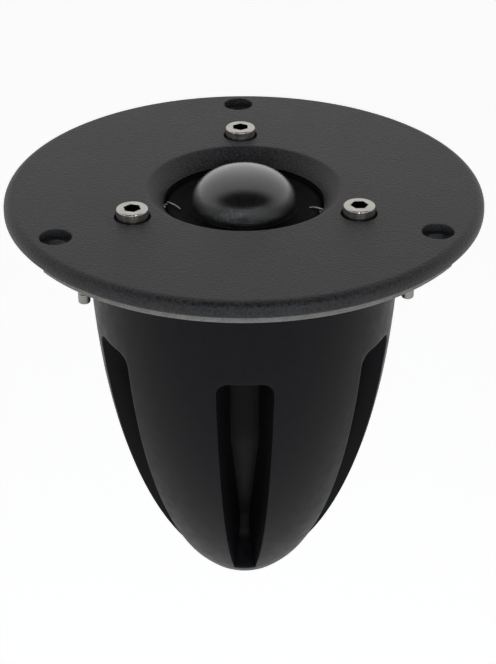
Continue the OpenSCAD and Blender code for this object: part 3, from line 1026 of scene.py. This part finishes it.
@dataclass
class Chamber:
    """Streamlined rear chamber with six lengthwise slots. Sizes are in millimetres."""

    shell_r: float = 43.1
    start_z: float = -2.0
    length: float = 123.1
    power: float = 2.32
    root: float = 0.58
    tip_r: float = 19.4
    tip_h: float = 6.2
    bore_r: float = 39.3
    floor_z: float = -29.6
    damping_r: float = 16.0
    damping_z: float = -62.0
    damping_end_r: float = 8.0
    damping_end_z: float = -84.0
    slot_half: float = 10.65
    slot_top: float = -33.5
    corner: float = 3.6
    core_r: float = 21.5
    taper_z: float = -64.0
    taper: float = 0.382
    waist_z: float = -104.7
    waist_reach: float = 6.0
    flare: float = 1.1
    lip: float = 0.4
    screw_pitch: float = 31.0
    screw_angles: list[float] = field(default_factory=lambda: [28.6, 148.6, 268.6])
    slot_angle: float = 28.6

    def build(self) -> None:
        """Build and dress the shell and the screws in its slots."""
        low, high = span("rear_chamber")
        self.nose_z, self.rim_z = low.z, high.z
        self.shell()
        self.screws()

    def shell_radius(self, level: float) -> float:
        """Return the radius of the streamlined surface at a level."""
        depth = max(self.start_z - level, 0.0) / self.length
        return self.shell_r * (1.0 - depth**self.power) ** self.root

    def core_radius(self, level: float) -> float:
        """Return the radius of the core between the slots at a level, with its rounded waist."""
        waist_r = self.core_r - self.taper * (self.taper_z - self.waist_z)
        if level >= self.taper_z:
            return self.core_r
        down = self.waist_z + self.waist_reach * 0.93
        up_end = (waist_r + self.flare * self.waist_reach * 0.67, self.waist_z - self.waist_reach * 0.67)
        if level >= down:
            return self.core_r - self.taper * (self.taper_z - level)
        if level <= up_end[1]:
            return waist_r + self.flare * (self.waist_z - level)
        start_r = self.core_r - self.taper * (self.taper_z - down)
        low, high = 0.0, 1.0
        for _ in range(40):
            t = (low + high) / 2
            z = (1 - t) ** 2 * down + 2 * t * (1 - t) * self.waist_z + t * t * up_end[1]
            low, high = (t, high) if z > level else (low, t)
        return (1 - t) ** 2 * start_r + 2 * t * (1 - t) * waist_r + t * t * up_end[0]

    def slot_end(self) -> float:
        """Return the level where the core's flare meets the shell."""
        low, high = self.nose_z, self.waist_z
        for _ in range(50):
            middle = (low + high) / 2
            if self.core_radius(middle) > self.shell_radius(middle):
                low = middle
            else:
                high = middle
        return (low + high) / 2

    def levels(self) -> list[float]:
        """Return the levels of the shell's rows, from the rim to the ball-shaped tip."""
        end = self.slot_end()
        step = self.corner / 3
        rows = [self.rim_z - 1.0, -4.0, -9.0, -14.0, -19.0, -24.0, -28.0, self.slot_top + 2.2]
        rows += [self.slot_top + 0.9] + [self.slot_top - step * i for i in range(4)]
        rows += [self.slot_top - self.corner - 2.2]
        row = rows[-1]
        while row > self.waist_z + 9.0:
            row -= 2.6
            rows.append(row)
        count = 16
        rows += [row + (end - row) * i / count for i in range(1, count + 1)]
        last = self.nose_z + self.tip_h
        return rows + [end + (last - end) * i / 4 for i in range(1, 5)]

    def columns(self) -> list[float]:
        """Return the turns between columns in degrees, once around from the middle of a slot."""
        arc_w = math.degrees(self.corner / self.shell_radius(self.slot_top - self.corner))
        plain = (self.slot_half - arc_w) / 2
        near, fin = 1.2, 30.0 - self.slot_half
        half = [plain] * 2 + [arc_w / 3] * 3 + [near] + [(fin - near) / 5] * 5
        return (half + half[::-1]) * 6

    def shell(self) -> None:
        """Build the hollow shell, press in its slots and soften their edges."""
        bm = bmesh.new()
        outer = [(self.shell_radius(z), z) for z in self.levels()]
        end_r = outer[-1][0]
        ball = math.degrees(math.acos(1.0 - self.tip_h / self.tip_r))
        squeeze = end_r / (self.tip_r * math.sin(math.radians(ball)))
        tip = rounded((0.0, self.nose_z + self.tip_r), self.tip_r, -90.0 + ball, -90.0, 9)[1:]
        outside = outer + [(r * squeeze, z) for r, z in tip]
        rim = [(self.bore_r, self.rim_z), (self.shell_r - 0.8, self.rim_z), (self.shell_r - 0.4, self.rim_z)]
        rim += [(self.shell_r - 0.12, self.rim_z - 0.12), (self.shell_r, self.rim_z - 0.4)]
        inside = [(0.0, self.damping_end_z), (self.damping_end_r, self.damping_end_z), (self.damping_r, self.damping_z)]
        inside += [(self.damping_r, self.floor_z), (self.bore_r, self.floor_z)]
        profile = inside + rim + outside
        verts = [bm.verts.new((r, 0.0, z)) for r, z in profile]
        ring = verts + [bm.edges.new(pair) for pair in zip(verts, verts[1:])]
        for step in self.columns():
            ring = bmesh.ops.spin(
                bm, geom=ring, cent=(0.0, 0.0, 0.0), axis=(0.0, 0.0, 1.0), angle=math.radians(step), steps=1,
                use_merge=False, use_duplicate=False,
            )["geom_last"]
        bmesh.ops.rotate(
            bm, verts=bm.verts[:], cent=(0.0, 0.0, 0.0), matrix=Matrix.Rotation(math.radians(self.slot_angle), 3, "Z")
        )
        merge(bm)
        bmesh.ops.recalc_face_normals(bm, faces=bm.faces[:])
        mouths = self.mouths(bm)
        self.round_corners(mouths)
        self.press(bm, mouths)
        piece = to_object(bm, "rear_chamber_shell")
        dress(piece, CHAMBER_COAT, Body.FRAME, ("rear_chamber",), 24.0)

    def off_slot(self, point: Vector) -> float:
        """Return the signed angle in degrees from the nearest slot's middle."""
        angle = math.degrees(math.atan2(point.y, point.x))
        return (angle - self.slot_angle + 30.0) % 60.0 - 30.0

    def mouths(self, bm: bmesh.types.BMesh) -> list[bmesh.types.BMFace]:
        """Return the faces of the outer surface that the slots take away."""
        end = self.slot_end()
        found = []
        for face in bm.faces:
            middle = face.calc_center_median()
            outside = math.hypot(middle.x, middle.y) > self.shell_radius(middle.z) - 1.0
            if outside and end < middle.z < self.slot_top and abs(self.off_slot(middle)) < self.slot_half:
                found.append(face)
        return found

    def round_corners(self, mouths: list[bmesh.types.BMFace]) -> None:
        """Slide the points at each slot's upper corners along the shell onto an arc."""
        row = self.corner / 3
        arc_w = math.degrees(self.corner / self.shell_radius(self.slot_top - self.corner))
        column = arc_w / 3
        for vert in {vert for face in mouths for vert in face.verts}:
            off, drop = self.off_slot(vert.co), self.slot_top - vert.co.z
            beside, below = (self.slot_half - abs(off)) / column, drop / row
            if min(beside, below) > 0.01 or max(beside, below) > 3.01:
                continue
            turned = math.radians(45.0 + (beside - below) * 15.0)
            shift = (self.slot_half - arc_w + arc_w * math.cos(turned)) - abs(off)
            level = self.slot_top - self.corner + self.corner * math.sin(turned)
            radius = self.shell_radius(level)
            angle = math.atan2(vert.co.y, vert.co.x) + math.radians(shift * math.copysign(1.0, off))
            vert.co = Vector((radius * math.cos(angle), radius * math.sin(angle), level))

    def press(self, bm: bmesh.types.BMesh, mouths: list[bmesh.types.BMFace]) -> None:
        """Extrude the slots' mouths down onto the core and bevel their edges.

        Args:
            bm: Mesh of the shell.
            mouths: Faces that the slots take away.
        """
        geom = bmesh.ops.extrude_face_region(bm, geom=mouths)["geom"]
        floors = [item for item in geom if isinstance(item, bmesh.types.BMVert)]
        bmesh.ops.delete(bm, geom=mouths, context="FACES_ONLY")
        for vert in floors:
            flat = Vector((vert.co.x, vert.co.y, 0.0))
            radius = min(self.core_radius(vert.co.z), flat.length)
            vert.co = flat.normalized() * radius + Vector((0.0, 0.0, vert.co.z))
        merge(bm)
        bmesh.ops.recalc_face_normals(bm, faces=bm.faces[:])
        end = self.slot_end()
        edges = []
        for edge in bm.edges:
            middle = (edge.verts[0].co + edge.verts[1].co) / 2
            on_shell = all(
                abs(math.hypot(v.co.x, v.co.y) - self.shell_radius(v.co.z)) < 0.02 for v in edge.verts
            )
            sharp = len(edge.link_faces) == 2 and edge.calc_face_angle() > math.radians(30.0)
            if sharp and on_shell and end - 0.1 < middle.z < self.slot_top + 0.1:
                edges.append(edge)
        bmesh.ops.bevel(
            bm, geom=edges, offset=self.lip, offset_type="OFFSET", affect="EDGES", segments=3, profile=0.5, material=-1,
            clamp_overlap=True,
        )
        merge(bm)

    def screws(self) -> None:
        """Build the three black socket screws that hold the chamber to the motor."""
        low, high = span("rear_screws")
        head_r, seat, soft, shank = 3.5, -self.slot_top, 0.4, 2.0
        tip, top = -high.z, -low.z
        shape = [(0.0, tip), (shank - 0.3, tip), (shank, tip + 0.3), (shank, seat), (head_r - 0.15, seat)]
        shape += [(head_r, seat + 0.15)] + rounded((head_r - soft, top - soft), soft, 0.0, 90.0, 5)
        shape += [(head_r - soft - 0.2, top)]
        bm = bmesh.new()
        for place in around(self.screw_pitch, self.screw_angles):
            socket_screw(bm, shape, 3.0, 2.2, place, 0.0, flip=True)
        dress(to_object(bm, "rear_screws_black"), BLACK_OXIDE, Body.FRAME, ("rear_screws",))


@dataclass
class Terminals:
    """Round pins in insulating bushes. Sizes are in millimetres."""

    neck_r: float = 1.4
    shoulder: float = -1.8

    def build(self) -> None:
        """Build and dress the pins."""
        low, high = span("terminal_posts")
        radius = (high.y - low.y) / 2
        soft, relief = 0.6, 0.22
        shape = [(0.0, low.z)] + rounded((radius - soft, low.z + soft), soft, -90.0, 0.0, 6)
        waist = low.z + 3.4
        shape += [(radius, waist - 0.5), (radius - relief, waist - 0.3), (radius - relief, waist + 0.7)]
        shape += [(radius, waist + 0.9), (radius, self.shoulder - 0.15), (radius - 0.1, self.shoulder)]
        shape += [(self.neck_r, self.shoulder), (self.neck_r, high.z - 0.1), (self.neck_r - 0.1, high.z), (0.0, high.z)]
        bm = bmesh.new()
        for x in (low.x + radius, high.x - radius):
            turn(bm, shape, SCREW_STEPS, (x, (low.y + high.y) / 2))
        merge(bm)
        bmesh.ops.recalc_face_normals(bm, faces=bm.faces[:])
        dress(to_object(bm, "terminal_pins"), DULL_NICKEL, Body.FRAME, ("terminal_posts",))


class Motor:
    """Pieces that keep their CAD shape and get a finish of their own."""

    finishes = {
        "diaphragm_carrier": CARRIER_PLASTIC,
        "terminal_bushes": CARRIER_PLASTIC,
        "internal_leads": LEAD_INSULATION,
        "coil_former": FORMER_FOIL,
        "voice_coil": COIL_WIRE,
        "top_plate": ZINC,
        "back_plate": ZINC,
        "magnet": SINTERED_MAGNET,
        "pole_piece": SOFT_IRON,
        "shorting_sleeve": COPPER,
        "pole_felt": GREY_FELT,
        "vent_damper": GREY_FELT,
        "yoke_gasket": SEAL_RUBBER,
        "chamber_seal": SEAL_RUBBER,
        "damping_wad": WHITE_WOOL,
    }

    def build(self) -> None:
        """Give every carried-over node its finish."""
        for node, finish in self.finishes.items():
            piece = frame["nodes"][node]
            material = finish.material()
            if not piece.material_slots:
                piece.data.materials.append(material)
            for held in piece.material_slots:
                held.material = material
            LOG.info("%s: %s", node, finish.name)


# ------------------------------------------------------------------------ studio


@dataclass
class Studio:
    """Floor, soft light and camera. Lengths are in millimetres and angles in degrees."""

    aim: Triple = (1.087, -0.035, -42.06)
    distance: float = 476.65
    elevation: float = 30.68
    azimuth: float = -1.854
    lens: float = 90.475
    sensor: float = 36.0
    floor_drop: float = 300.0
    floor_half: float = 9000.0
    lamp_distance: float = 700.0
    front_lamps: tuple[tuple[float, float, float, float], ...] = (
        (-6.0, 20.0, 22.0, 0.5), (24.0, 20.0, 22.0, 0.5), (-58.0, 22.0, 22.0, 0.25),
    )

    def build(self) -> None:
        """Set up the whole studio."""
        scene = bpy.context.scene
        scene.view_settings.view_transform = "Standard"
        scene.view_settings.look = "None"
        self.camera()
        self.floor()
        self.surroundings()
        self.lamps()

    def camera(self) -> None:
        """Aim a long lens at the tweeter from the front, a little above."""
        data = bpy.data.cameras.new("camera")
        data.lens, data.sensor_width, data.sensor_fit = self.lens, self.sensor, "AUTO"
        data.clip_start, data.clip_end = 0.01, 50.0
        made = bpy.data.objects.new("camera", data)
        lift, side = math.radians(self.elevation), math.radians(self.azimuth)
        aim = Vector(self.aim) * MM
        back = Vector((math.sin(side) * math.cos(lift), -math.cos(side) * math.cos(lift), math.sin(lift)))
        made.location = aim + back * self.distance * MM
        made.rotation_euler = back.to_track_quat("Z", "Y").to_euler()
        bpy.context.scene.collection.objects.link(made)
        bpy.context.scene.camera = made

    def floor(self) -> None:
        """Lay a wide pale floor well below the nose."""
        bm = bmesh.new()
        level = span("rear_chamber")[0].z - self.floor_drop
        bmesh.ops.create_grid(
            bm, x_segments=2, y_segments=2, size=self.floor_half, matrix=Matrix.Translation((0.0, 0.0, level))
        )
        made = to_object(bm, "floor")
        material = bpy.data.materials.new("pale_floor")
        material.use_nodes = True
        web = Web(material.node_tree)
        paint = web.node("ShaderNodeBsdfPrincipled", {"Base Color": (0.92, 0.92, 0.92, 1.0)})
        web.feed(paint, "Roughness", 0.9)
        web.feed(paint, "Specular IOR Level", 0.1)
        web.feed(paint, "Emission Color", (1.0, 1.0, 1.0, 1.0))
        web.feed(paint, "Emission Strength", 0.45)
        web.node("ShaderNodeOutputMaterial", {0: paint.outputs[0]})
        made.data.materials.append(material)

    def surroundings(self) -> None:
        """Light the scene from a white cove with a darker strip overhead and a darker front."""
        world = bpy.data.worlds.new("cove")
        bpy.context.scene.world = world
        world.use_nodes = True
        web = Web(world.node_tree)
        heading = web.node("ShaderNodeTexCoord").outputs["Generated"]
        strip = self.patch(web, heading, Vector((0.04, -0.44, 0.9)), 0.84, 0.58)
        front = self.patch(web, heading, Vector((0.0, -0.85, -0.5)), 1.0, 0.6)
        shade = web.math("MULTIPLY", web.fit(strip, 0.8, 1.15, 0.0, 1.0), web.fit(front, 0.7, 1.2, 0.14, 1.0))
        level = web.math("MULTIPLY", shade, 0.95)
        seen = web.node("ShaderNodeLightPath").outputs["Is Camera Ray"]
        strength = web.node("ShaderNodeMix", {0: seen, 2: level, 3: 1.0}).outputs[0]
        sky = web.node("ShaderNodeBackground", {"Color": (1.0, 1.0, 1.0, 1.0), "Strength": strength})
        web.node("ShaderNodeOutputWorld", {0: sky.outputs[0]})

    def patch(self, web: Web, heading: Socket, centre: Vector, wide: float, high: float) -> Socket:
        """Return how far a direction is from a patch of sky, where 1 is the patch's edge.

        Args:
            web: Tree of the world.
            heading: Direction that is looked up.
            centre: Direction of the patch's middle.
            wide: Half of its width, along X, as a sine.
            high: Half of its height as a sine.

        Returns:
            0 at the middle and 1 at the edge.
        """
        middle = centre.normalized()
        up = Vector((1.0, 0.0, 0.0)).cross(middle).normalized()
        parts = []
        for axis, size in ((Vector((1.0, 0.0, 0.0)), wide), (up, high)):
            dot = self.facing(web, heading, axis)
            parts.append(web.math("POWER", web.math("DIVIDE", dot, size), 2.0))
        behind = web.math("MULTIPLY", web.math("LESS_THAN", self.facing(web, heading, middle), 0.0), 9.0)
        return web.math("ADD", web.math("SQRT", web.math("ADD", *parts)), behind)

    def facing(self, web: Web, heading: Socket, axis: Vector) -> Socket:
        """Return the cosine between the direction looked up and an axis."""
        made = web.node("ShaderNodeVectorMath", {0: heading, 1: axis[:]}, operation="DOT_PRODUCT")
        return made.outputs["Value"]

    def lamps(self) -> None:
        """Hang small lamps in front, whose glints show the weave of the dome."""
        for turned, lift, size, power in self.front_lamps:
            ahead = Vector((0.0, -math.cos(math.radians(lift)), math.sin(math.radians(lift))))
            ahead = Matrix.Rotation(math.radians(turned), 3, "Z") @ ahead
            self.softbox("front_lamp", ahead * self.lamp_distance, size, power)

    def softbox(self, name: str, place: Vector, size: float, power: float) -> None:
        """Add a square area lamp that faces the object.

        Args:
            name: Name of the lamp.
            place: Its centre.
            size: Length of its side.
            power: Power in watts.
        """
        data = bpy.data.lights.new(name, "AREA")
        data.shape, data.size, data.energy = "SQUARE", size * MM, power
        data.color = (0.86, 0.93, 1.0)
        made = bpy.data.objects.new(name, data)
        made.location = place * MM
        made.rotation_euler = place.to_track_quat("Z", "Y").to_euler()
        bpy.context.scene.collection.objects.link(made)


def main() -> None:
    """Build every sub-assembly in order and log each one's name."""
    logging.basicConfig(level=logging.INFO, format="%(name)s %(message)s")
    for part in (Studio(), FrontPlate(), Diaphragm(), Chamber(), Terminals(), Motor()):
        LOG.info("building %s", type(part).__name__)
        part.build()


if __name__ == "__main__":
    main()
